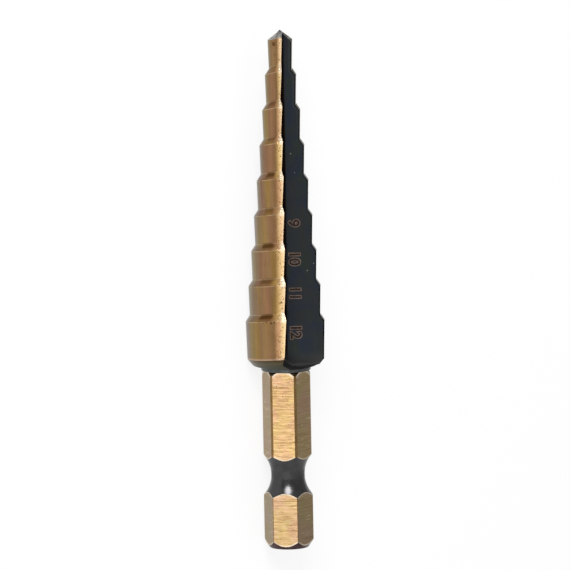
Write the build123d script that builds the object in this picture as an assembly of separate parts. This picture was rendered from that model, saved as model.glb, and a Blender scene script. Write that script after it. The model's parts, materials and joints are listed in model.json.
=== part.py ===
from build123d import *
import os
from math import asin, ceil, degrees, radians, tan

# A step drill, ground from one bar of tool steel. It is modelled standing on the end of its
# shank, with its axis along Z and the cutting edge of its first land towards -Y, and is then
# laid down on its largest step. Lengths are millimetres, angles are degrees.

# Steps, from the pilot at the tip to the largest one
pilot_diameter = 4.0
diameter_increment = 1.0
step_count = 9
step_pitch = 5.2            # from one shoulder to the next
pilot_length = 4.85         # from the corner of the point to the foot of the first shoulder
last_step_length = 5.9      # from the foot of the last shoulder to the bevel below it
shoulder_angle = 34.0       # shoulders, from the axis
back_taper = 1.5            # each step narrows towards the shank by this much a side
bevel_angle = 40.0          # bevel below the last step, from the axis
bevel_height = 1.95         # top of that bevel above the collar

# Relief of a land, a quarter turn behind its cutting edge
radial_relief = 0.2
axial_relief = 1.05
bevel_relief = 0.78         # axial, at the bevel below the last step

# Flutes
web = 0.9                   # steel left between the heel walls of the two flutes
flute_root_radius = 0.5
rake_lean = 3.5             # cutting faces lean back towards the shank within each step
pilot_lean = 2.4            # the pilot's lean less
edge_lead = 0.16            # how far the top corner of a cutting edge leads the axis

# Foot of a flute, where the grinding wheel with its bevelled rim ran out into the collar
foot_top = 29.2             # where it leaves the cutting face
foot_low = 26.75            # where its side and floor would meet without the bevel
foot_lean = 12.5            # its side, from the axis
foot_rise = 3.5             # its floor, from a plane across the axis
foot_bevel_up = 1.0         # the bevel between them, up from where they would meet
foot_bevel_out = 1.6        # and out from there
foot_rounding = 0.4         # where side, bevel and floor meet

# Point, with its web thinned by a split beside each lip
point_angle = 135.0
point_clearance = 16.0      # how much steeper a flank falls towards its heel
chisel_half = 0.28          # half of the chisel edge, and the lead of the pilot's edges
split_angle = 44.0          # floor of a split, from the axis
split_depth = 0.35          # where that floor starts, below the tip
split_reach = 0.35          # how far a split passes the axis

# Shank
shank_length = 26.85
across_flats = 6.35
corner_diameter = 7.1       # the corners of the hexagon are turned down to this
end_corner_diameter = 7.26  # and to this between the groove and the end
flat_turn = 8.9             # a flat faces this far round from the first cutting edge
collar_diameter = 7.3
collar_height = 0.43
underside_angle = 15.0      # underside of the body, from a plane across the axis
neck_depth = 0.28           # chamfer of the corners below the collar
neck_height = 0.54
groove_radius = 4.55
groove_depth = 1.09         # below the turned corners
groove_height = 10.8        # middle of the groove, above the end of the shank
end_chamfer = 0.74
end_chamfer_height = 1.09

# How finely a land is built up, and how far tools, blanks and core overlap what they meet
station_angle = 15.0
overrun = 2.0
core_overlap = 0.1

# Values worked out from the sizes above
body_radius = (pilot_diameter + (step_count - 1) * diameter_increment) / 2
corner_radius = corner_diameter / 2
end_corner_radius = end_corner_diameter / 2
collar_radius = collar_diameter / 2
reach = body_radius + overrun
taper_slope = tan(radians(back_taper))
bevel_top = shank_length + bevel_height
last_shoulder = bevel_top + last_step_length
first_shoulder = last_shoulder + (step_count - 2) * step_pitch
point_corner = first_shoulder + pilot_length
apex = point_corner + pilot_diameter / 2 / tan(radians(point_angle / 2))
above_tip = apex + overrun
core_radius = web / 2 + flute_root_radius + chisel_half
heel_angle = 90.0 + degrees(asin(web / 2 / core_radius))


def step_radius(step):
    """Cutting radius of a step, counted from the pilot as 0."""
    return (pilot_diameter + step * diameter_increment) / 2


def step_top(step):
    """Height of a step's full corner: the point's corner, or the foot of the shoulder above it."""
    return point_corner if step == 0 else first_shoulder - (step - 1) * step_pitch


def step_bottom(step):
    """Radius and height at which a tapering step meets the shoulder or the bevel below it."""
    if step == step_count - 1:
        return step_radius(step) - last_step_length * taper_slope, bevel_top
    fall = step_top(step) - step_top(step + 1)
    growth = step_radius(step + 1) - step_radius(step)
    shoulder_slope = tan(radians(shoulder_angle))
    rise = (growth + fall * taper_slope) / (shoulder_slope + taper_slope)
    return step_radius(step + 1) - rise * shoulder_slope, step_top(step + 1) + rise


def relieved(radius, height, turn):
    """A point of a cutting edge as it has drawn in and sunk some quarter turns behind the edge."""
    sink = bevel_relief if height <= bevel_top else axial_relief
    return radius - radial_relief * turn, height - sink * turn


def stepped_outline():
    """Radius and height along a cutting edge, from inside the underside up to past the point."""
    low_radius, low_height = step_bottom(step_count - 1)
    drop = bevel_height + overrun
    points = [(low_radius - drop * tan(radians(bevel_angle)), low_height - drop)]
    for step in reversed(range(step_count)):
        points.append(step_bottom(step))
        points.append((step_radius(step), step_top(step)))
    points.append((step_radius(0), above_tip + 2 * axial_relief))
    return points


def land():
    """One relieved land: its outline draws in and sinks as it turns back from the cutting edge."""
    outline = stepped_outline()
    inner = core_radius - core_overlap
    stations = []
    for index in range(ceil(heel_angle / station_angle) + 3):
        angle = (index - 1) * station_angle
        outer = [relieved(radius, height, angle / 90.0) for radius, height in outline]
        section = Polygon((inner, outer[0][1]), *outer, (inner, outer[-1][1]), align=None)
        stations.append(Plane.XZ.rotated((0, 0, -90.0 - angle)) * section)
    return loft(stations)


def turned_body():
    """The blank of the stepped body: a shallow cone underneath and room for the lands above."""
    rim = shank_length + (reach - collar_radius) * tan(radians(underside_angle))
    outline = Polygon((0, shank_length), (collar_radius, shank_length), (reach, rim),
                      (reach, above_tip), (0, above_tip), align=None)
    return revolve(Plane.XZ * outline, Axis.Z)


def shank():
    """A hexagon with turned corners, a ball groove round it and a round collar on top."""
    collar_base = shank_length - collar_height
    outline = Polygon((0, 0), (end_corner_radius - end_chamfer, 0),
                      (end_corner_radius, end_chamfer_height), (end_corner_radius, groove_height),
                      (corner_radius, groove_height), (corner_radius, collar_base - neck_height),
                      (corner_radius - neck_depth, collar_base), (0, collar_base), align=None)
    turned = revolve(Plane.XZ * outline, Axis.Z)
    groove = Torus(corner_radius - groove_depth + groove_radius, groove_radius)
    hexagon = Rot(0, 0, -flat_turn) * RegularPolygon(across_flats / 2, 6, major_radius=False)
    grip = extrude(hexagon, collar_base) & (turned - Pos(0, 0, groove_height) * groove)
    return grip + extrude(Pos(0, 0, collar_base) * Circle(collar_radius), collar_height)


def edge_stations():
    """Heights up a flute, with the offset of the cutting edge from the axis at each of them."""
    stations = []
    for step in reversed(range(step_count)):
        lead, lean = (chisel_half, pilot_lean) if step == 0 else (edge_lead, rake_lean)
        low = step_bottom(step)[1]
        high = step_top(step)
        stations.append((low, lead - (high - low) * tan(radians(lean))))
        stations.append((high, lead))
    return stations


def flute_section(height, edge):
    root = Vector(edge, -web / 2)
    corner = Pos(root) * Rectangle(reach, reach, align=(Align.MIN, Align.MAX))
    rounded = fillet(corner.vertices().sort_by_distance(root)[0], flute_root_radius)
    return Plane.XY.offset(height) * rounded


def flute_foot():
    """The end of the first flute: its side, a bevel and a floor that rises outwards."""
    lean_slope = tan(radians(foot_lean))
    rise_slope = tan(radians(foot_rise))
    edge = edge_lead - (last_shoulder - foot_top) * tan(radians(rake_lean))
    corner = edge - (foot_top - foot_low) * lean_slope
    outline = Polygon((edge, foot_top), (corner + foot_bevel_up * lean_slope, foot_low + foot_bevel_up),
                      (corner + foot_bevel_out, foot_low + foot_bevel_out * rise_slope),
                      (reach, foot_low + (reach - corner) * rise_slope), (reach, foot_top), align=None)
    outline = fillet(outline.vertices().sort_by_distance(Vector(corner, foot_low))[:2], foot_rounding)
    foot = extrude(Plane.XZ.offset(web / 2) * outline, reach)
    heel_side = foot.faces().sort_by(Axis.Y)[-1].edges()
    return fillet(heel_side.sort_by_distance(Vector(corner, -web / 2, foot_low))[:5], flute_root_radius)


def flute():
    """What the first flute removes: a straight corner cut, open to the tip, and its foot."""
    stations = edge_stations()
    cutter = flute_foot()
    for below, above in zip(stations, stations[1:]):
        cutter += loft([flute_section(*below), flute_section(*above)], ruled=True)
    high_height, high_edge = stations[-1]
    return cutter + extrude(flute_section(high_height, high_edge), above_tip - high_height)


def flank():
    """The cone under which the first land's point lies, tipped so that it falls to the heel."""
    cone = Cone(above_tip * tan(radians(point_angle / 2)), 0, above_tip,
                align=(Align.CENTER, Align.CENTER, Align.MAX))
    return Pos(0, 0, apex) * Rot(0, -point_clearance, 0) * cone


def split():
    """What thins the web beside the first lip: a notch whose floor runs down to the far heel."""
    start = apex - split_depth
    fall = reach / tan(radians(split_angle))
    outline = Polygon((chisel_half, start), (chisel_half + reach, start - fall),
                      (chisel_half + reach, above_tip), (chisel_half, above_tip), align=None)
    return extrude(Plane.XZ.offset(-split_reach) * outline, reach)


def step_drill():
    """The whole drill, standing on its shank."""
    half = land()
    core = extrude(Pos(0, 0, shank_length) * Circle(core_radius), above_tip - shank_length)
    steel = (core + half + Rot(0, 0, 180) * half) & turned_body()
    steel += shank()
    for turn in (0, 180):
        steel &= Rot(0, 0, turn) * flank()
        steel -= Rot(0, 0, turn) * flute()
        steel -= Rot(0, 0, turn) * split()
    return steel


def laid_down(drill):
    """The drill as it lies: on three corners of its largest step, across a flute's mouth."""
    heel_turn = 1.0 + degrees(asin(web / 2 / body_radius)) / 90.0

    def heel_corner(radius, height):
        drawn_in, sunk = relieved(radius, height, heel_turn)
        across = (drawn_in ** 2 - (web / 2) ** 2) ** 0.5
        return Vector(-across, web / 2, sunk)

    edge_corner = Vector(-edge_lead, body_radius, last_shoulder)
    high_heel = heel_corner(body_radius, last_shoulder)
    low_heel = heel_corner(*step_bottom(step_count - 1))
    up = (high_heel - edge_corner).cross(low_heel - edge_corner).normalized()
    if up.dot(edge_corner) > 0:
        up = -up
    floor = Plane(edge_corner, x_dir=Vector(0, 0, 1).cross(up), z_dir=up)
    drill = floor.to_local_coords(drill)
    box = drill.bounding_box()
    return Pos(-box.center().X, -box.center().Y, -box.min.Z) * drill


os.makedirs("parts", exist_ok=True)
export_step(laid_down(step_drill()), "parts/step_drill.step")
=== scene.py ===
import json
from math import atan2, cos, degrees, hypot, pi, radians, sin, tan

import bmesh
import bpy
from mathutils import Matrix, Vector


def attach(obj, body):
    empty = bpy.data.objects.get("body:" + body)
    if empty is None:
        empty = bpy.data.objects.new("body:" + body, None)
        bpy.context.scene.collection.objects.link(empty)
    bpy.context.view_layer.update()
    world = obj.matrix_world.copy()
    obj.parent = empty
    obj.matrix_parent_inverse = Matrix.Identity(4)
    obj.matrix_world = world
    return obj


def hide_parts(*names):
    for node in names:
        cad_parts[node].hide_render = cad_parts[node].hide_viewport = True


# A step drill lying on its largest step, one piece of steel from the point to the shank.
# The frame is in metres; the drill's own axes are in millimetres, with Z from the end of the
# shank to the point and the first cutting edge towards -Y.

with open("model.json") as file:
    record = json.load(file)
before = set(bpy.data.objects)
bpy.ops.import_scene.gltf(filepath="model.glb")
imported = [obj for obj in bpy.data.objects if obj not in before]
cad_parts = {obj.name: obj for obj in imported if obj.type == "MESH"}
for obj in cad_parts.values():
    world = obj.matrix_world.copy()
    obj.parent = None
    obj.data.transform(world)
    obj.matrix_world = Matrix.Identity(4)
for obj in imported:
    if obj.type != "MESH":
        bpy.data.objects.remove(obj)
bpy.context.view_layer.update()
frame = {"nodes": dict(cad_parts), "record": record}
scene = bpy.context.scene
scene.view_settings.view_transform = "Standard"
mm = 0.001
weld = 1e-7                     # corners closer than this are one


# the drill's own axes, from the middle of the shank's end face

drill = {
    "rollOnFloor": 44.5225,     # degrees round the axis, from level
    "aheadOfEdge": 20.0,        # degrees ahead of a cutting edge that still count as its land
    "firstShoulder": 71.1,      # foot of the highest shoulder
    "stepPitch": 5.2,
    "lastStep": 8,
    "pilotRadius": 2.0,
    "stepGrowth": 0.5,          # radius added by each step
    "backTaper": 0.0262,        # each step narrows towards the shank, mm per mm
    "shoulderSlope": 0.6745,
    "shoulderTop": 4.29,        # where a shoulder starts, below the corner of the step above it
    "bevelTop": 28.8,           # lower end of the largest step
    "radialRelief": 0.2,        # in a quarter turn behind the cutting edge
    "axialRelief": 1.05,        # and along the axis
    "bevelRelief": 0.78,        # and along the axis on the bevel
    "halfWeb": 0.45,
    "collarTop": 26.85,
    "collarFoot": 26.42,
    "neckFoot": 25.88,
    "cornerRadius": 3.55,       # turned corners of the hexagon
    "neckRadius": 3.27,         # and where their chamfer meets the collar
    "flatRadius": 3.175,
    "flatTurn": 8.9,
    "grooveMiddle": 10.8,
    "grooveHalf": 3.2,
    "grooveCentre": 7.01,       # middle of the groove's round, from the axis
    "grooveRound": 4.55,
    "endRadius": 2.89,
    "endSlope": 0.679,          # chamfer at the end, mm out for each mm up
    "pointCorner": 75.95,
}

shankEnd = next(m for m in frame["record"]["mounts"] if m["name"] == "shank_end")
endMiddle = Vector(shankEnd["pos_m"])
axisUp = -Vector(shankEnd["axis"]).normalized()
level = Vector((1, 0, 0))
roll = radians(drill["rollOnFloor"])
drillX = (level * cos(roll) + level.cross(axisUp) * sin(roll)).normalized()
drillY = axisUp.cross(drillX)
toWorld = Matrix((drillX, drillY, axisUp)).transposed()
toDrill = toWorld.transposed()


def inDrill(place):
    return toDrill @ (place - endMiddle) / mm


def inWorld(place):
    return endMiddle + toWorld @ (Vector(place) * mm)


# camera, square to the first land and a little to the tip's side

camera = {
    "distance": 1.95,
    "tipSide": 9.3,             # degrees from square to the axis
    "lean": 1.08,               # degrees that the point leans left
    "aimHeight": 38.93,         # mm above the shank's end
    "aimAside": 0.08,
    "field": 83.6,              # mm across at the drill
    "sensor": 36,               # its width, mm
}


def makeCamera():
    tipSide = radians(camera["tipSide"])
    lean = radians(camera["lean"])
    towards = -drillY * cos(tipSide) + axisUp * sin(tipSide)
    along = (axisUp - towards * axisUp.dot(towards)).normalized()
    across = along.cross(towards)
    up = along * cos(lean) + across * sin(lean)
    right = across * cos(lean) - along * sin(lean)
    aim = inWorld((0, 0, camera["aimHeight"])) + right * camera["aimAside"] * mm
    data = bpy.data.cameras.new("camera")
    data.sensor_width = camera["sensor"]
    data.lens = camera["sensor"] * camera["distance"] / (camera["field"] * mm)
    data.clip_end = 20
    eye = bpy.data.objects.new("camera", data)
    placed = Matrix((right, up, towards)).transposed().to_4x4()
    placed.translation = aim + towards * camera["distance"]
    eye.matrix_world = placed
    scene.collection.objects.link(eye)
    scene.camera = eye


makeCamera()
print("camera set")


# small helpers for node trees

def put(tree, kind, inputs=None, **settings):
    made = tree.nodes.new("ShaderNode" + kind)
    for key, value in settings.items():
        setattr(made, key, value)
    for key, value in (inputs or {}).items():
        plug(tree, made.inputs[key], value)
    return made


def plug(tree, socket, value):
    if isinstance(value, bpy.types.NodeSocket):
        tree.links.new(value, socket)
    elif socket.type == "RGBA" and len(value) == 3:
        socket.default_value = (*value, 1)
    else:
        socket.default_value = value


def maths(tree, operation, *values):
    made = tree.nodes.new("ShaderNodeMath")
    made.operation = operation
    for socket, value in zip(made.inputs, values):
        plug(tree, socket, value)
    return made.outputs[0]


def plus(tree, first, second):
    return maths(tree, "ADD", first, second)


def minus(tree, first, second):
    return maths(tree, "SUBTRACT", first, second)


def times(tree, first, *others):
    for other in others:
        first = maths(tree, "MULTIPLY", first, other)
    return first


def largest(tree, first, *others):
    for other in others:
        first = maths(tree, "MAXIMUM", first, other)
    return first


def distance(tree, across, along):
    squares = plus(tree, times(tree, across, across), times(tree, along, along))
    return maths(tree, "SQRT", squares)


def sway(tree, value, noise, by):
    return plus(tree, value, times(tree, minus(tree, noise, 0.5), by))


def within(tree, noise, low, high):
    return plus(tree, low, times(tree, noise, high - low))


def between(tree, value, low, high, to=(0.0, 1.0)):
    made = put(tree, "MapRange", {"Value": value, "From Min": low, "From Max": high,
                                  "To Min": to[0], "To Max": to[1]}, interpolation_type="SMOOTHSTEP")
    return made.outputs[0]


def line(tree, value, centre, halfWidth, soft):
    away = maths(tree, "ABSOLUTE", minus(tree, value, centre))
    return between(tree, away, halfWidth, halfWidth + soft, (1.0, 0.0))


def spot(tree, across, along, radius):
    return between(tree, distance(tree, across, along), 0.5 * radius, 1.4 * radius, (1.0, 0.0))


def grain(tree, place, scale=1.0, detail=3.0, rough=0.5, stretch=None, turn=(0.0, 0.0, 0.0)):
    if stretch:
        place = put(tree, "Mapping", {"Vector": place, "Scale": stretch, "Rotation": turn}).outputs[0]
    made = put(tree, "TexNoise", {"Vector": place, "Scale": scale, "Detail": detail, "Roughness": rough})
    return made.outputs["Fac"]


def tint(tree, factor, first, second, blend="MIX"):
    made = tree.nodes.new("ShaderNodeMix")
    made.data_type = "RGBA"
    made.blend_type = blend
    plug(tree, made.inputs[0], factor)
    plug(tree, made.inputs[6], first)
    plug(tree, made.inputs[7], second)
    return made.outputs[2]


def shade(tree, factor, colour, by):
    return tint(tree, factor, colour, tint(tree, 1.0, colour, by, "MULTIPLY"))


def bands(tree, factor, stops, interpolation="EASE"):
    made = put(tree, "ValToRGB", {"Fac": factor})
    made.color_ramp.interpolation = interpolation
    handles = made.color_ramp.elements
    while len(handles) < len(stops):
        handles.new(0.5)
    for handle, (position, colour) in zip(handles, stops):
        handle.position = position
        handle.color = (*colour, 1)
    return made.outputs["Color"]


def bump(tree, height, strength, deep):
    return put(tree, "Bump", {"Height": height, "Strength": strength, "Distance": deep * mm})


def newFinish(name, **sockets):
    finish = bpy.data.materials.new(name)
    finish.use_nodes = True
    tree = finish.node_tree
    tree.nodes.clear()
    output = put(tree, "OutputMaterial")
    surface = put(tree, "BsdfPrincipled")
    for key, value in sockets.items():
        surface.inputs[key.replace("_", " ")].default_value = value
    tree.links.new(surface.outputs["BSDF"], output.inputs["Surface"])
    return finish, tree, surface


edgeOn = {                      # a surface seen edge on looks smoother
    "from": 0.82,
    "to": 0.97,
    "roughnessLeft": 0.3,
}


def dress(tree, surface, colour, rough, raised):
    facing = put(tree, "LayerWeight", {"Blend": 0.5}).outputs["Facing"]
    smoother = between(tree, facing, edgeOn["from"], edgeOn["to"], (1.0, edgeOn["roughnessLeft"]))
    plug(tree, surface.inputs["Base Color"], colour)
    plug(tree, surface.inputs["Roughness"], times(tree, rough, smoother))
    plug(tree, surface.inputs["Normal"], raised.outputs[0])


def makeDrillSpace():
    # where a point is on the drill: its place in mm, how many degrees it is behind a cutting edge,
    # which step it is on, how far below the step's corner, how far out the outline is there, and
    # whether it is on the first land's side
    group = bpy.data.node_groups.new("drillSpace", "ShaderNodeTree")
    coordinates = put(group, "TexCoord")
    mapping = put(group, "Mapping", {"Vector": coordinates.outputs["Object"]}, vector_type="TEXTURE")
    mapping.inputs["Location"].default_value = endMiddle
    mapping.inputs["Rotation"].default_value = toWorld.to_euler()
    mapping.inputs["Scale"].default_value = (mm, mm, mm)
    place = mapping.outputs[0]
    x, y, z = put(group, "SeparateXYZ", {"Vector": place}).outputs
    angle = maths(group, "ARCTAN2", times(group, x, -1.0), times(group, y, -1.0))
    ahead = drill["aheadOfEdge"]
    turn = plus(group, maths(group, "DEGREES", angle), ahead)
    turn = minus(group, maths(group, "FLOORED_MODULO", turn, 180.0), ahead)
    outlineHeight = plus(group, z, times(group, turn, drill["axialRelief"] / 90))
    fall = minus(group, drill["firstShoulder"], outlineHeight)
    step = plus(group, maths(group, "FLOOR", maths(group, "DIVIDE", fall, drill["stepPitch"])), 1.0)
    step = maths(group, "MINIMUM", largest(group, step, 0.0), float(drill["lastStep"]))
    below = minus(group, fall, times(group, minus(group, step, 1.0), drill["stepPitch"]))
    corner = plus(group, drill["pilotRadius"], times(group, step, drill["stepGrowth"]))
    tapered = minus(group, corner, times(group, below, drill["backTaper"]))
    # every step but the last widens again in the shoulder below it; the last is put out of play
    toNext = times(group, minus(group, drill["stepPitch"], below), drill["shoulderSlope"])
    rising = minus(group, plus(group, corner, drill["stepGrowth"]), toNext)
    last = maths(group, "GREATER_THAN", step, drill["lastStep"] - 0.5)
    rising = minus(group, rising, times(group, last, 10.0))
    found = {
        "Place": place,
        "Turn": turn,
        "Step": step,
        "Below Corner": below,
        "Outline Radius": largest(group, tapered, rising),
        "Radius": distance(group, x, y),
        "Height": z,
        "Across": x,
        "Out": maths(group, "ABSOLUTE", x),
        "Deep": maths(group, "ABSOLUTE", y),
        "First Half": between(group, y, -0.2, 0.2, (1.0, 0.0)),
    }
    output = group.nodes.new("NodeGroupOutput")
    for name, value in found.items():
        kind = "NodeSocketVector" if name == "Place" else "NodeSocketFloat"
        group.interface.new_socket(name=name, in_out="OUTPUT", socket_type=kind)
        group.links.new(value, output.inputs[name])
    return group


drillSpace = makeDrillSpace()


def onDrill(tree):
    made = tree.nodes.new("ShaderNodeGroup")
    made.node_tree = drillSpace
    return made.outputs


def bevelHeight(tree, at):
    # height that a point of the bevel's outline has at the cutting edge
    return plus(tree, at["Height"], times(tree, at["Turn"], drill["bevelRelief"] / 90))


# gold of the relieved lands: bright beside the cutting edge, partly a painted highlight, and tempered in
# bands behind it, with painted shade towards the heel

gold = {
    "bands": (                  # position is degrees behind the edge over 100
        # the first stops, beside the cutting edge, hold a painted highlight
        (0.000, (0.630, 0.465, 0.262)),
        (0.040, (0.560, 0.398, 0.208)),
        (0.080, (0.470, 0.315, 0.155)),
        (0.115, (0.400, 0.250, 0.110)),
        (0.150, (0.292, 0.170, 0.074)),
        (0.240, (0.284, 0.163, 0.079)),
        (0.330, (0.290, 0.178, 0.082)),
        (0.440, (0.260, 0.159, 0.082)),
        (0.580, (0.232, 0.162, 0.092)),
        (0.680, (0.215, 0.160, 0.105)),
        # painted shade towards the heel
        (0.800, (0.120, 0.100, 0.075)),
    ),
    "wander": {"detail": 2.0, "stretch": (0.6, 0.6, 0.10)},
    "wanderBy": 9.0,            # degrees that the bands stray along a land
    "ripple": {"scale": 1.4, "detail": 2.0},
    "rippleBy": 3.0,
    "stepApart": 23.0,          # shift of the noises from one step to the next
    "hues": {"detail": 1.0, "stretch": (0.62, 0.62, 0.035)},
    "olive": (1.10, 1.12, 0.80),
    "oliveHues": (0.50, 0.62),
    "oliveFrom": (9.0, 20.0),   # degrees behind the edge
    "rosy": (0.98, 0.88, 0.97),
    "rosyHues": (0.48, 0.38),
    "streaks": {"detail": 4.0, "rough": 0.6, "stretch": (1.9, 1.9, 0.05)},
    "lightStreak": (1.20, 1.17, 1.10),
    "darkStreak": (0.84, 0.72, 0.66),
    "cloud": {"scale": 0.7},
    "clouded": (0.90, 0.88, 0.80),
    "pit": (0.20, 0.12, 0.04),
    "pits": {"scale": 3.4, "detail": 1.0},
    "pitStrip": (9.0, 14.0),    # degrees behind the edge where the pits die out
    # painted shade at each shoulder's middle, also the colour of real marks on the first land
    "stainAndShoulderShade": (0.085, 0.036, 0.008),
    "shoulderShadeOfStep": (0.0, 0.12, 0.55, 0.40, 0.90, 0.45, 0.95, 0.65, 1.00),
    "shoulderShadeMiddle": 30.0,        # degrees behind the edge
    "shoulderShadeHalf": 8.0,
    "shoulderShadeStray": 20.0,
    "shoulderShade": (0.60, 0.50, 0.40),
    "cornerGlint": (0.66, 0.50, 0.31),
    "lipGlint": (0.80, 0.66, 0.50),
    "lipBy": (5.0, 11.0),       # degrees behind the edge where its glint dies out
    "footGlint": (0.46, 0.32, 0.22),
    "heel": (0.370, 0.315, 0.240),
    "heelFrom": (84.5, 87.5),
    "heelDark": (0.030, 0.022, 0.014),
    "heelDarkFrom": (83.0, 89.0),
    "roughness": (0.22, 0.34),
    "marks": (                  # degrees behind the edge, height, radius, strength
        (28.8, 74.9, 0.34, 0.75),
        (26.0, 73.3, 0.20, 0.30),
        (15.5, 34.35, 0.14, 0.80),
        (20.5, 34.20, 0.17, 0.85),
        (27.5, 34.25, 0.13, 0.70),
        (33.0, 34.15, 0.10, 0.60),
        (5.5, 37.20, 0.09, 0.90),
        (8.0, 39.80, 0.07, 0.70),
    ),
}


def stainBelow(tree, step):
    # how strong the painted shade on the shoulder below a step is: it is the next step's own
    spread = 0.1
    stops = []
    for number, strength in enumerate(gold["shoulderShadeOfStep"]):
        stops.append((spread * (number + 0.5), (strength, strength, strength)))
    return bands(tree, times(tree, plus(tree, step, 1.6), spread), stops, "CONSTANT")


def makeLandGold():
    finish, tree, surface = newFinish("landGold", Metallic=1.0)
    at = onDrill(tree)
    place = at["Place"]
    behind = at["Turn"]
    below = at["Below Corner"]
    # each step is tempered a little differently
    apart = put(tree, "CombineXYZ", {"Z": times(tree, at["Step"], gold["stepApart"])}).outputs[0]
    ownPlace = put(tree, "VectorMath", {0: place, 1: apart}, operation="ADD").outputs[0]
    wander = grain(tree, ownPlace, **gold["wander"])
    ripple = grain(tree, place, **gold["ripple"])
    strayed = sway(tree, sway(tree, behind, wander, gold["wanderBy"]), ripple, gold["rippleBy"])
    colour = bands(tree, maths(tree, "DIVIDE", strayed, 100.0), gold["bands"])
    hues = grain(tree, ownPlace, **gold["hues"])
    inland = between(tree, behind, *gold["oliveFrom"], (0.25, 1.0))
    olive = times(tree, between(tree, hues, *gold["oliveHues"]), inland)
    colour = shade(tree, olive, colour, gold["olive"])
    colour = shade(tree, between(tree, hues, *gold["rosyHues"]), colour, gold["rosy"])
    # fine light and dark lines along the land
    streaks = grain(tree, ownPlace, **gold["streaks"])
    colour = shade(tree, between(tree, streaks, 0.45, 0.70, (0.0, 0.7)), colour, gold["lightStreak"])
    colour = shade(tree, between(tree, streaks, 0.50, 0.30, (0.0, 0.5)), colour, gold["darkStreak"])
    cloud = grain(tree, place, **gold["cloud"])
    colour = shade(tree, between(tree, cloud, 0.35, 0.7, (0.0, 0.5)), colour, gold["clouded"])
    # pits beside the cutting edge
    strip = between(tree, strayed, *gold["pitStrip"], (1.0, 0.0))
    pits = times(tree, between(tree, grain(tree, place, **gold["pits"]), 0.60, 0.70), strip)
    colour = tint(tree, times(tree, pits, 0.75), colour, gold["pit"])
    # each shoulder is painted darker than its land, painted shade where it faces up, with more painted shade
    # at its middle
    upper = between(tree, at["Step"], drill["lastStep"] - 0.6, drill["lastStep"] - 0.4, (1.0, 0.0))
    top = drill["shoulderTop"]
    dimmed = times(tree, between(tree, below, top - 0.05, top + 0.15), upper, 0.50)
    dimmed = times(tree, dimmed, between(tree, behind, 14.0, 24.0))
    colour = shade(tree, dimmed, colour, gold["shoulderShade"])
    shadeStrayed = sway(tree, behind, ripple, gold["shoulderShadeStray"])
    middle = line(tree, shadeStrayed, gold["shoulderShadeMiddle"], gold["shoulderShadeHalf"], gold["shoulderShadeHalf"])
    shoulder = times(tree, between(tree, below, top - 0.26, top - 0.02),
                     between(tree, below, top + 0.42, top + 0.70, (1.0, 0.25)), upper)
    shoulderShadePatch = times(tree, shoulder, middle, stainBelow(tree, at["Step"]))
    colour = tint(tree, shoulderShadePatch, colour, gold["stainAndShoulderShade"])
    # painted highlights along each step's corner, the shoulder's inner edge and the cutting edge, and
    # painted glints where the cutting edge meets a shoulder
    slow = between(tree, grain(tree, place, scale=0.8, detail=2.0), 0.36, 0.62, (0.25, 1.0))
    corner = times(tree, line(tree, below, 0.05, 0.03, 0.10), slow)
    inner = times(tree, line(tree, below, top - 0.02, 0.02, 0.09), slow, upper, 0.6)
    lip = between(tree, behind, 0.4, 3.0, (0.85, 0.0))
    paintedEdgeHighlight = largest(tree, times(tree, largest(tree, corner, inner), 0.65), lip)
    colour = tint(tree, times(tree, paintedEdgeHighlight, 0.6), colour, gold["cornerGlint"])
    nearShoulder = largest(tree, between(tree, below, 0.15, 0.6, (1.0, 0.0)),
                           times(tree, between(tree, below, 3.9, 4.4), upper))
    nearLip = between(tree, plus(tree, behind, times(tree, ripple, 4.0)), *gold["lipBy"], (1.0, 0.0))
    colour = tint(tree, times(tree, nearShoulder, nearLip, 0.75), colour, gold["lipGlint"])
    # a painted highlight where the largest step meets its bevel
    bevelTop = drill["bevelTop"]
    foot = between(tree, bevelHeight(tree, at), bevelTop + 0.16, bevelTop + 0.34, (0.75, 0.0))
    colour = tint(tree, foot, colour, gold["footGlint"])
    # the land is painted pale at its heel, a painted reflection where it turns away at the rim, and the ends
    # of its shoulders there are darker
    colour = tint(tree, between(tree, behind, *gold["heelFrom"]), colour, gold["heel"])
    heelShoulderDark = times(tree, between(tree, behind, *gold["heelDarkFrom"]),
                  between(tree, below, top - 0.15, top + 0.05), upper)
    colour = tint(tree, heelShoulderDark, colour, gold["heelDark"])
    # a few marks on the first land
    for turn, height, size, strength in gold["marks"]:
        arc = times(tree, minus(tree, behind, turn), at["Outline Radius"], pi / 180)
        mark = spot(tree, arc, minus(tree, at["Height"], height), size)
        colour = tint(tree, times(tree, mark, at["First Half"], strength), colour, gold["stainAndShoulderShade"])
    rough = within(tree, grain(tree, place, scale=1.2, detail=4.0), *gold["roughness"])
    rough = plus(tree, rough, times(tree, shoulderShadePatch, 0.15))
    height = minus(tree, times(tree, streaks, 0.3), times(tree, pits, 0.9))
    height = plus(tree, height, times(tree, grain(tree, place, scale=8.0, detail=2.0), 0.06))
    dress(tree, surface, colour, rough, bump(tree, height, 0.5, 0.05))
    return finish


# black oxide in the flutes

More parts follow.
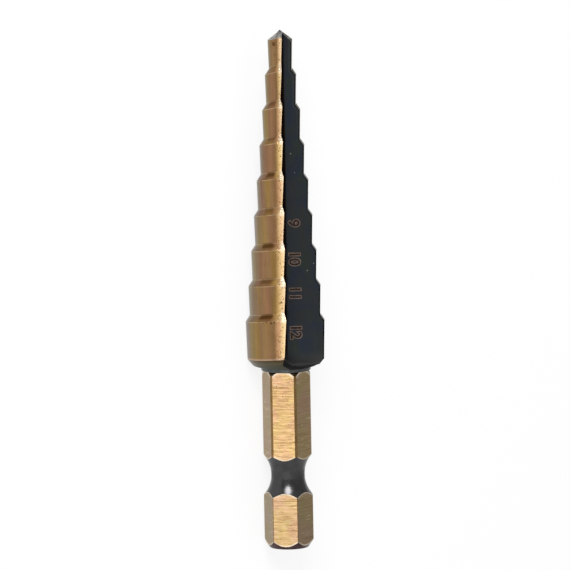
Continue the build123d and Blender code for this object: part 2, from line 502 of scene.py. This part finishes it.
oxide = {
    "colour": (0.0232, 0.0264, 0.0290),
    "cool": (0.0192, 0.0244, 0.0355),
    "green": (0.0220, 0.0290, 0.0266),
    "warm": (0.0260, 0.0246, 0.0215),
    "foot": (0.0440, 0.0460, 0.0440),
    "footFrom": (27.4, 29.6),   # height
    "coolPatches": {"scale": 0.30, "detail": 2.0},
    "greenPatches": {"scale": 0.42, "detail": 2.0, "stretch": (1, 1, 0.7)},
    "streaks": {"stretch": (3.0, 3.0, 0.10)},
    "rootShade": (0.0080, 0.0040, 0.0025),
    "rootWidth": (0.16, 0.36),  # at its lower end and its upper end
    "rootHeights": (32.0, 60.0),
    "heelTurn": 1.05,           # quarter turns from a cutting edge to its heel
    "rimShade": (0.0060, 0.0065, 0.0070),
    "rimShadeWidth": (0.17, 0.27),
    "rimGlint": (0.0320, 0.0350, 0.0350),
    "rimGlintFrom": (56.0, 72.0),
    "dust": (0.16, 0.18, 0.16),
    "roughness": 0.36,
    "specks": (                 # out from the axis, height, radius
        (1.25, 58.46, 0.10),
        (1.79, 55.64, 0.07),
        (4.33, 42.12, 0.08),
        (3.40, 41.10, 0.10),
    ),
}


def makeFluteBlack():
    finish, tree, surface = newFinish("fluteBlack", Metallic=1.0)
    at = onDrill(tree)
    place = at["Place"]
    cool = between(tree, grain(tree, place, **oxide["coolPatches"]), 0.42, 0.58)
    colour = tint(tree, cool, oxide["colour"], oxide["cool"])
    green = between(tree, grain(tree, place, **oxide["greenPatches"]), 0.52, 0.68)
    colour = tint(tree, green, colour, oxide["green"])
    streaks = grain(tree, place, **oxide["streaks"])
    colour = tint(tree, between(tree, streaks, 0.35, 0.75, (0.0, 0.5)), colour, oxide["warm"])
    # painted light: the oxide is lighter towards the flute's foot, where its reflection is dark
    foot = between(tree, at["Height"], *oxide["footFrom"], (1.0, 0.0))
    colour = tint(tree, foot, colour, oxide["foot"])
    # along the heel corner runs a black line of painted shade, with a faint painted highlight inside it
    heelRadius = minus(tree, at["Outline Radius"], drill["radialRelief"] * oxide["heelTurn"])
    rim = minus(tree, heelRadius, at["Out"])
    glint = times(tree, line(tree, rim, 0.42, 0.05, 0.14),
                  between(tree, at["Height"], *oxide["rimGlintFrom"]))
    colour = tint(tree, glint, colour, oxide["rimGlint"])
    colour = tint(tree, between(tree, rim, *oxide["rimShadeWidth"], (1.0, 0.0)), colour, oxide["rimShade"])
    # the root of the flute is painted black beside the heel wall, painted shade in the corner, and wider
    # towards the point
    rootWidth = between(tree, at["Height"], *oxide["rootHeights"], oxide["rootWidth"])
    beside = between(tree, at["Deep"], drill["halfWeb"] + 0.3, drill["halfWeb"] + 0.8, (1.0, 0.0))
    root = times(tree, between(tree, minus(tree, at["Out"], rootWidth), 0.0, 0.24, (1.0, 0.0)),
                 between(tree, at["Height"], 27.8, 29.6, (0.25, 1.0)), beside)
    colour = tint(tree, root, colour, oxide["rootShade"])
    for out, height, size in oxide["specks"]:
        speck = spot(tree, minus(tree, at["Across"], out), minus(tree, at["Height"], height), size)
        colour = tint(tree, times(tree, speck, at["First Half"], 0.8), colour, oxide["dust"])
    rough = sway(tree, oxide["roughness"], streaks, 0.15)
    rough = plus(tree, rough, times(tree, foot, 0.35))
    height = plus(tree, times(tree, streaks, 0.4), times(tree, grain(tree, place, scale=5.0), 0.3))
    dress(tree, surface, colour, rough, bump(tree, height, 0.3, 0.03))
    return finish


# matt oxide on the floor and the bevel of a flute's foot

footOxide = {
    "dark": (0.0145, 0.0145, 0.0130),
    "light": (0.0235, 0.0255, 0.0250),
    "cloud": {"scale": 1.2, "detail": 4.0},
    "lay": {"stretch": (0.4, 6.0, 2.0)},
    "roughness": 0.65,
}


def makeFluteFoot():
    finish, tree, surface = newFinish("fluteFoot", Metallic=0.25, Specular_IOR_Level=0.2)
    at = onDrill(tree)
    cloud = grain(tree, at["Place"], **footOxide["cloud"])
    lay = grain(tree, at["Place"], **footOxide["lay"])
    colour = tint(tree, between(tree, cloud, 0.35, 0.65), footOxide["dark"], footOxide["light"])
    rough = sway(tree, footOxide["roughness"], cloud, 0.2)
    dress(tree, surface, colour, rough, bump(tree, lay, 0.3, 0.02))
    return finish


# gold of the ground flats on the shank, scratched crosswise, in a painted lit copy and a painted shaded copy

flats = {
    # a painted lit copy of the flats' gold, and below it a painted shaded copy
    "flatLitPainted": {"plain": (0.690, 0.450, 0.215), "patch": (0.670, 0.465, 0.195),
                   "pink": (0.700, 0.420, 0.250), "wear": 1.0, "paleBy": 0.55},
    "flatShadedPainted": {"plain": (0.345, 0.245, 0.135), "patch": (0.315, 0.245, 0.118),
                 "pink": (0.345, 0.230, 0.155), "wear": 0.45, "paleBy": 0.385},
    "patches": {"scale": 0.5},
    "pinkPatches": {"scale": 0.33, "detail": 2.0, "stretch": (1, 1, 0.8)},
    "endShade": (0.70, 0.76, 0.80),
    "endFrom": (6.0, 14.0),     # height
    "coarse": {"detail": 4.0, "rough": 0.6, "stretch": (0.05, 0.05, 3.3)},
    "fine": {"detail": 5.0, "rough": 0.7, "stretch": (0.11, 0.11, 4.6)},
    "worked": {"scale": 0.45, "detail": 2.0},
    "broken": {"scale": 1.1, "detail": 2.0, "stretch": (0.6, 0.6, 3.0)},
    "light": (1.26, 1.30, 1.42),
    "dark": (0.60, 0.52, 0.43),
    "mark": (0.27, 0.15, 0.06),
    "pale": (0.70, 0.58, 0.42),
    "paleScratches": {"stretch": (0.55, 0.55, 5.0)},
    "askew": {"detail": 4.0, "stretch": (0.5, 0.5, 6.0), "turn": (0.10, 0.06, 0.0)},
    "pit": (0.12, 0.06, 0.03),
    "pits": {"scale": 2.2, "detail": 1.0},
    "rim": (0.80, 0.72, 0.58),
    "roughness": (0.22, 0.36),
}


def scratched(tree, place, fine, coarse, worked, colour):
    colour = shade(tree, times(tree, between(tree, fine, 0.53, 0.66), worked), colour, flats["light"])
    colour = shade(tree, times(tree, between(tree, fine, 0.47, 0.34), worked), colour, flats["dark"])
    scratches = largest(tree, line(tree, coarse, 0.50, 0.008, 0.026),
                        line(tree, coarse, 0.41, 0.006, 0.020),
                        line(tree, coarse, 0.59, 0.006, 0.020))
    broken = between(tree, grain(tree, place, **flats["broken"]), 0.40, 0.54)
    return tint(tree, times(tree, scratches, broken, worked, 0.85), colour, flats["mark"])


def wornRims(tree, place, radius, height):
    # paler rims where neck, groove and end chamfer cut a flat
    neckSlope = (drill["collarFoot"] - drill["neckFoot"]) / (drill["cornerRadius"] - drill["neckRadius"])
    neckAtAxis = drill["collarFoot"] + drill["neckRadius"] * neckSlope
    belowNeck = minus(tree, minus(tree, neckAtAxis, times(tree, radius, neckSlope)), height)
    inward = minus(tree, drill["grooveCentre"], radius)
    aboveGroove = minus(tree, height, drill["grooveMiddle"])
    fromGroove = minus(tree, distance(tree, inward, aboveGroove), drill["grooveRound"])
    chamferRadius = plus(tree, times(tree, height, drill["endSlope"]), drill["endRadius"])
    fromChamfer = minus(tree, chamferRadius, radius)
    rim = largest(tree, between(tree, belowNeck, 0.18, 0.50, (0.9, 0.0)),
                  between(tree, fromGroove, 0.05, 0.16, (0.8, 0.0)),
                  between(tree, fromChamfer, 0.06, 0.17, (1.0, 0.0)))
    return times(tree, rim, between(tree, grain(tree, place, scale=0.9, detail=2.0), 0.32, 0.58, (0.4, 1.0)))


def makeFlatGold(name):
    tones = flats[name]
    finish, tree, surface = newFinish(name, Metallic=1.0)
    at = onDrill(tree)
    place = at["Place"]
    patches = between(tree, grain(tree, place, **flats["patches"]), 0.38, 0.62)
    colour = tint(tree, patches, tones["plain"], tones["patch"])
    rosy = between(tree, grain(tree, place, **flats["pinkPatches"]), 0.46, 0.62)
    colour = tint(tree, times(tree, rosy, 0.8), colour, tones["pink"])
    # painted shade: the flats are darker towards the shank's end
    paintedEndShade = between(tree, at["Height"], *flats["endFrom"], (0.55, 0.0))
    colour = shade(tree, paintedEndShade, colour, flats["endShade"])
    # scratches run round the shank, coarse and fine, a few of them pale or askew
    coarse = grain(tree, place, **flats["coarse"])
    fine = grain(tree, place, **flats["fine"])
    worked = between(tree, grain(tree, place, **flats["worked"]), 0.36, 0.56, (0.5, 1.0))
    worked = times(tree, worked, tones["wear"])
    colour = scratched(tree, place, fine, coarse, worked, colour)
    pale = between(tree, grain(tree, place, **flats["paleScratches"]), 0.64, 0.69)
    colour = tint(tree, times(tree, pale, tones["paleBy"]), colour, flats["pale"])
    askew = between(tree, grain(tree, place, **flats["askew"]), 0.64, 0.70)
    colour = tint(tree, times(tree, askew, worked, 0.7), colour, flats["mark"])
    pits = between(tree, grain(tree, place, **flats["pits"]), 0.73, 0.79)
    colour = tint(tree, times(tree, pits, 0.5), colour, flats["pit"])
    rim = wornRims(tree, place, at["Radius"], at["Height"])
    colour = tint(tree, times(tree, rim, 0.75), colour, flats["rim"])
    rough = within(tree, fine, *flats["roughness"])
    raised = plus(tree, times(tree, fine, 0.7), times(tree, coarse, 0.7))
    raised = minus(tree, raised, plus(tree, times(tree, askew, 0.3), times(tree, pits, 0.7)))
    dress(tree, surface, colour, rough, bump(tree, raised, 0.45, 0.04))
    return finish


# turned and tempered surfaces: one recipe, with two colours and a roughness for each place

turned = {
    "cornerBrown": ((0.212, 0.122, 0.043), (0.262, 0.162, 0.065), 0.30),
    "grooveBlack": ((0.060, 0.058, 0.060), (0.070, 0.068, 0.069), 0.23),
    "collarGrey": ((0.070, 0.076, 0.074), (0.105, 0.108, 0.104), 0.30),
    # the neck's notch is painted near black, painted shade in the recess under the collar
    "neckPaintedShade": ((0.034, 0.020, 0.008), (0.060, 0.036, 0.018), 0.36),
    "endPurple": ((0.050, 0.028, 0.028), (0.074, 0.046, 0.044), 0.30),
}
turning = {
    "rings": {"stretch": (0.2, 0.2, 9.0)},
    "cloud": {"scale": 1.1, "detail": 4.0},
    "ballRing": (0.2, 0.35, 0.5),       # above the groove's middle, half its width, and its soft edge
    "ballRub": 0.22,                    # roughness that the ball adds there
}


def makeTurned(name):
    dark, light, roughness = turned[name]
    finish, tree, surface = newFinish(name, Metallic=1.0)
    at = onDrill(tree)
    rings = grain(tree, at["Place"], **turning["rings"])
    cloud = grain(tree, at["Place"], **turning["cloud"])
    colour = tint(tree, between(tree, cloud, 0.35, 0.65), dark, light)
    colour = tint(tree, between(tree, rings, 0.55, 0.75, (0.0, 0.4)), colour, light)
    rough = sway(tree, roughness, cloud, 0.08)
    # the ball has rubbed a duller ring at the bottom of the groove
    above, half, soft = turning["ballRing"]
    rubbed = line(tree, at["Height"], drill["grooveMiddle"] + above, half, soft)
    rough = plus(tree, rough, times(tree, rubbed, turning["ballRub"]))
    height = plus(tree, rings, times(tree, cloud, 0.3))
    dress(tree, surface, colour, rough, bump(tree, height, 0.15, 0.02))
    return finish


# tempered bevel under the largest step, brown at its top and blue-grey below

bevel = {
    "bands": (                  # position is mm below its top over 2
        (0.00, (0.070, 0.043, 0.018)),
        (0.10, (0.078, 0.050, 0.024)),
        (0.28, (0.092, 0.078, 0.046)),
        (0.50, (0.070, 0.068, 0.048)),
        (0.80, (0.066, 0.072, 0.062)),
        (1.00, (0.090, 0.102, 0.096)),
    ),
    "light": (1.25, 1.22, 1.15),
    "rings": {"stretch": (0.2, 0.2, 7.0)},
    "cloud": {"scale": 1.1, "detail": 4.0},
    "roughness": 0.32,
}


def makeBevelGrey():
    finish, tree, surface = newFinish("bevelGrey", Metallic=1.0)
    at = onDrill(tree)
    down = minus(tree, drill["bevelTop"], bevelHeight(tree, at))
    cloud = grain(tree, at["Place"], **bevel["cloud"])
    down = sway(tree, down, cloud, 0.3)
    colour = bands(tree, maths(tree, "DIVIDE", down, 2.0), bevel["bands"])
    rings = grain(tree, at["Place"], **bevel["rings"])
    colour = shade(tree, between(tree, rings, 0.50, 0.75), colour, bevel["light"])
    rough = sway(tree, bevel["roughness"], cloud, 0.1)
    dress(tree, surface, colour, rough, bump(tree, rings, 0.2, 0.03))
    return finish


# bare steel where the point is ground

point = {
    "colour": (0.34, 0.335, 0.325),
    "stain": (0.12, 0.10, 0.08),
    "chisel": (0.10, 0.095, 0.09),
    "chiselFrom": (76.15, 76.60),       # height
    "lay": {"detail": 4.0, "stretch": (9.0, 1.2, 1.2)},
    "cloud": {"scale": 1.7, "detail": 4.0},
    "roughness": 0.34,
}


def makePointSteel():
    finish, tree, surface = newFinish("pointSteel", Metallic=1.0)
    at = onDrill(tree)
    lay = grain(tree, at["Place"], **point["lay"])
    cloud = grain(tree, at["Place"], **point["cloud"])
    colour = tint(tree, between(tree, cloud, 0.42, 0.68), point["colour"], point["stain"])
    chisel = between(tree, at["Height"], *point["chiselFrom"], (0.0, 0.7))
    colour = tint(tree, chisel, colour, point["chisel"])
    rough = sway(tree, point["roughness"], lay, 0.2)
    dress(tree, surface, colour, rough, bump(tree, lay, 0.4, 0.02))
    return finish


finishes = {
    "landGold": makeLandGold(),
    "fluteBlack": makeFluteBlack(),
    "fluteFoot": makeFluteFoot(),
    "flatLitPainted": makeFlatGold("flatLitPainted"),
    "flatShadedPainted": makeFlatGold("flatShadedPainted"),
    "bevelGrey": makeBevelGrey(),
    "pointSteel": makePointSteel(),
}
for name in turned:
    finishes[name] = makeTurned(name)
finishOrder = list(finishes)
print("finishes made:", ", ".join(finishOrder))


# the drill: the frame's own steel, its faces sorted by how they were ground

sorting = {                     # slack is in mm, a normal's part of 1 outwards or up
    "collarTopSlack": 0.02,
    "collarSlack": 0.01,
    "neckSlack": 0.2,
    "neckUp": 0.3,
    "uprightUp": 0.02,
    "flatSlack": 0.05,
    "flatAngle": 0.5,           # degrees
    "pointDepth": 2.2,          # below the point's corner
    "pointUp": 0.25,
    "splitFoot": 74.5,          # height
    "splitStart": 0.3,          # out from the axis
    "splitWall": 0.4,
    "onAxis": 1e-6,             # a face nearer than this counts as this far out
    "landOut": 0.5,
    "landSlack": 0.08,
    "bevelOut": 0.3,
    "bevelUp": -0.2,
    "bevelSlack": 0.05,
    "undersideUp": -0.8,
    "footUp": 0.12,
    "footSlack": 0.6,
    "smoothAngle": 15,          # degrees between two faces that are shaded as one
}


def outlineAt(height):
    fall = drill["firstShoulder"] - height
    step = min(max(fall // drill["stepPitch"] + 1, 0), drill["lastStep"])
    below = fall - (step - 1) * drill["stepPitch"]
    corner = drill["pilotRadius"] + step * drill["stepGrowth"]
    tapered = corner - below * drill["backTaper"]
    if step == drill["lastStep"]:
        return tapered
    rising = corner + drill["stepGrowth"] - (drill["stepPitch"] - below) * drill["shoulderSlope"]
    return max(tapered, rising)


def shankFinish(place, normal):
    radius = hypot(place.x, place.y)
    if place.z > drill["collarFoot"] - sorting["collarSlack"]:
        return "collarGrey"
    if normal.z > sorting["neckUp"] and place.z > drill["neckFoot"] - sorting["neckSlack"]:
        return "neckPaintedShade"
    if abs(normal.z) < sorting["uprightUp"] and radius > drill["flatRadius"] - sorting["flatSlack"]:
        # the first flat and the one across from it get the painted lit copy, the other flats the painted
        # shaded copy
        around = degrees(atan2(normal.y, normal.x)) + drill["flatTurn"] + 90
        if abs((around + 30) % 180 - 30) < sorting["flatAngle"]:
            return "flatLitPainted"
        if abs((around + 30) % 60 - 30) < sorting["flatAngle"]:
            return "flatShadedPainted"
        return "cornerBrown"
    if abs(place.z - drill["grooveMiddle"]) < drill["grooveHalf"]:
        return "grooveBlack"
    return "endPurple"


def bodyFinish(place, normal):
    radius = hypot(place.x, place.y)
    ahead = drill["aheadOfEdge"]
    turn = (degrees(atan2(-place.x, -place.y)) + ahead) % 180 - ahead
    outward = (normal.x * place.x + normal.y * place.y) / max(radius, sorting["onAxis"])
    bevelTop = drill["bevelTop"]
    sink = drill["bevelRelief"] if place.z < bevelTop else drill["axialRelief"]
    height = place.z + sink * turn / 90
    surface = outlineAt(height) - drill["radialRelief"] * turn / 90
    beside = abs(place.x) > sorting["splitStart"] and place.z > sorting["splitFoot"]
    splitFace = beside and abs(place.y) < sorting["splitWall"] < abs(normal.y)
    pointFoot = drill["pointCorner"] - sorting["pointDepth"]
    if place.z > pointFoot and (normal.z > sorting["pointUp"] or splitFace):
        return "pointSteel"
    if outward > sorting["landOut"] and height > bevelTop and abs(radius - surface) < sorting["landSlack"]:
        return "landGold"
    facesDown = outward > sorting["bevelOut"] and normal.z < sorting["bevelUp"]
    if facesDown and height < bevelTop + sorting["bevelSlack"]:
        return "bevelGrey"
    if normal.z < sorting["undersideUp"]:
        return "bevelGrey"
    if normal.z > sorting["footUp"] and place.z < bevelTop + sorting["footSlack"]:
        return "fluteFoot"
    return "fluteBlack"


def makeDrill():
    work = bmesh.new()
    work.from_mesh(frame["nodes"]["step_drill"].data)
    bmesh.ops.remove_doubles(work, verts=work.verts, dist=weld)
    for face in work.faces:
        place = inDrill(face.calc_center_median())
        normal = toDrill @ face.normal
        if place.z < drill["collarTop"] - sorting["collarTopSlack"]:
            finish = shankFinish(place, normal)
        else:
            finish = bodyFinish(place, normal)
        face.material_index = finishOrder.index(finish)
        face.smooth = True
    for edge in work.edges:
        edge.smooth = edge.calc_face_angle(0) < radians(sorting["smoothAngle"])
    data = bpy.data.meshes.new("stepDrill")
    work.to_mesh(data)
    work.free()
    for name in finishOrder:
        data.materials.append(finishes[name])
    piece = bpy.data.objects.new("stepDrill", data)
    scene.collection.objects.link(piece)
    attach(piece, "root")
    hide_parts("step_drill")
    return piece


stepDrill = makeDrill()
print("drill made:", len(stepDrill.data.polygons), "faces")


# plain step sizes etched in the first flute, beside the steps that are wide enough for them

numerals = {
    "sizes": (9, 10, 11, 12),   # mm across, the steps' own
    "middle": 1.48,             # of a number, out from the axis
    "lastLower": 0.5,           # the largest step is longer, so its number stands lower
    "capHeight": 1.52,
    "deep": 0.02,               # into the steel
    "blotch": (0.60, 0.50, 0.45),
    "roughness": (0.42, 0.62),
    "layers": {                 # wider strokes round narrower ones, which stand more proud
        "etchEdge": {"wider": 0.072, "proud": 0.010, "colour": (0.155, 0.105, 0.080)},
        "etchInside": {"wider": 0.018, "proud": 0.016, "colour": (0.0110, 0.0060, 0.0040)},
    },
}


def makeEtch(name, tone):
    finish, tree, surface = newFinish(name, Metallic=0.6)
    at = onDrill(tree)
    blotch = grain(tree, at["Place"], scale=1.6)
    colour = shade(tree, between(tree, blotch, 0.35, 0.70), tone, numerals["blotch"])
    rough = within(tree, blotch, *numerals["roughness"])
    dress(tree, surface, colour, rough, bump(tree, blotch, 0.3, 0.02))
    return finish


def numberMesh(text, wider, thick):
    letters = bpy.data.curves.new("number", "FONT")
    letters.body = text
    letters.size = 1
    letters.align_x = "CENTER"
    letters.align_y = "CENTER"
    letters.offset = wider
    letters.extrude = thick
    shape = bpy.data.objects.new("number", letters)
    scene.collection.objects.link(shape)
    data = bpy.data.meshes.new_from_object(shape.evaluated_get(bpy.context.evaluated_depsgraph_get()))
    bpy.data.objects.remove(shape)
    bpy.data.curves.remove(letters)
    return data


def capHeightOfFont():
    data = numberMesh("1", 0.0, 0.0)
    rows = [vertex.co.y for vertex in data.vertices]
    bpy.data.meshes.remove(data)
    return max(rows) - min(rows)


def downFlute(size, place):
    # the numbers read down the flute, with their tops outwards
    upright = Matrix(((0, size, 0), (0, 0, -size), (-size, 0, 0))).to_4x4()
    placed = toWorld.to_4x4() @ Matrix.Scale(mm, 4) @ upright
    placed.translation = inWorld(place)
    return placed


def makeNumerals():
    size = numerals["capHeight"] / capHeightOfFont()
    work = bmesh.new()
    for number in numerals["sizes"]:
        step = round((number / 2 - drill["pilotRadius"]) / drill["stepGrowth"])
        stepCorner = drill["firstShoulder"] - (step - 1) * drill["stepPitch"]
        middle = stepCorner - drill["shoulderTop"] / 2
        if step == drill["lastStep"]:
            middle -= numerals["lastLower"]
        for index, layer in enumerate(numerals["layers"].values()):
            thick = (layer["proud"] + numerals["deep"]) / 2
            data = numberMesh(str(number), layer["wider"], thick / size)
            place = (numerals["middle"], -drill["halfWeb"] - layer["proud"] + thick, middle)
            data.transform(downFlute(size, place))
            faces = len(work.faces)
            work.from_mesh(data)
            work.faces.ensure_lookup_table()
            for face in work.faces[faces:]:
                face.material_index = index
            bpy.data.meshes.remove(data)
    bmesh.ops.remove_doubles(work, verts=work.verts, dist=weld)
    bmesh.ops.recalc_face_normals(work, faces=work.faces)
    data = bpy.data.meshes.new("sizeNumerals")
    work.to_mesh(data)
    work.free()
    for name, layer in numerals["layers"].items():
        data.materials.append(makeEtch(name, layer["colour"]))
    piece = bpy.data.objects.new("sizeNumerals", data)
    scene.collection.objects.link(piece)
    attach(piece, "root")
    return piece


sizeNumerals = makeNumerals()
print("numerals made:", len(sizeNumerals.data.polygons), "faces")


# floor, lamps and the room round them

studio = {
    "floorSize": 3.0,           # m either way
    "floorColour": (0.86, 0.86, 0.86),
    "floorShare": 0.15,         # how much of the floor's look is lit, the rest is plain white
    "room": (0.90, 0.52),       # its strength beyond the shank's end, and elsewhere
    "roomFrom": (-0.27, -0.20), # cosines from the drill's axis between which it changes
    "lamps": (                  # name, shape, degrees left of square, degrees to the tip's side,
                                # distance m, degrees wide, degrees high, radiance
        ("window", "RECTANGLE", 8, -17, 0.60, 34, 16, 1.6),
        ("lamp", "ELLIPSE", 1, 39, 0.60, 30, 30, 14.0),
    ),
}


def makeFloor():
    work = bmesh.new()
    bmesh.ops.create_grid(work, x_segments=1, y_segments=1, size=studio["floorSize"])
    data = bpy.data.meshes.new("floor")
    work.to_mesh(data)
    work.free()
    floor = bpy.data.objects.new("floor", data)
    scene.collection.objects.link(floor)
    paint = bpy.data.materials.new("floorWhite")
    paint.use_nodes = True
    tree = paint.node_tree
    tree.nodes.clear()
    output = put(tree, "OutputMaterial")
    lit = put(tree, "BsdfDiffuse", {"Color": studio["floorColour"]})
    white = put(tree, "Emission", {"Color": (1, 1, 1), "Strength": 1.0})
    rays = put(tree, "LightPath")
    seen = largest(tree, rays.outputs["Is Camera Ray"], rays.outputs["Is Glossy Ray"],
                   rays.outputs["Is Transmission Ray"])
    mixed = put(tree, "MixShader", {"Fac": times(tree, seen, 1 - studio["floorShare"])})
    tree.links.new(lit.outputs[0], mixed.inputs[1])
    tree.links.new(white.outputs[0], mixed.inputs[2])
    tree.links.new(mixed.outputs[0], output.inputs["Surface"])
    data.materials.append(paint)


def makeLamps():
    target = inWorld((0, 0, camera["aimHeight"]))
    for name, shape, left, tip, away, wide, high, radiance in studio["lamps"]:
        flat = -drillY * cos(radians(left)) - drillX * sin(radians(left))
        direction = flat * cos(radians(tip)) + axisUp * sin(radians(tip))
        data = bpy.data.lights.new(name, "AREA")
        data.shape = shape
        data.size = 2 * away * tan(radians(wide / 2))
        data.size_y = 2 * away * tan(radians(high / 2))
        # an ellipse is this much smaller than the rectangle round it
        share = pi / 4 if shape == "ELLIPSE" else 1
        data.energy = radiance * pi * data.size * data.size_y * share
        lamp = bpy.data.objects.new(name, data)
        across = axisUp.cross(direction).normalized()
        placed = Matrix((across, direction.cross(across), direction)).transposed().to_4x4()
        placed.translation = target + direction * away
        lamp.matrix_world = placed
        scene.collection.objects.link(lamp)


def makeRoom():
    world = bpy.data.worlds.new("room")
    world.use_nodes = True
    tree = world.node_tree
    background = tree.nodes["Background"]
    background.inputs["Color"].default_value = (1, 1, 1, 1)
    direction = put(tree, "TexCoord").outputs["Generated"]
    towards = put(tree, "VectorMath", {0: direction, 1: axisUp}, operation="DOT_PRODUCT")
    strength = between(tree, towards.outputs["Value"], *studio["roomFrom"], studio["room"])
    plug(tree, background.inputs["Strength"], strength)
    scene.world = world


makeFloor()
makeLamps()
makeRoom()
print("studio made")
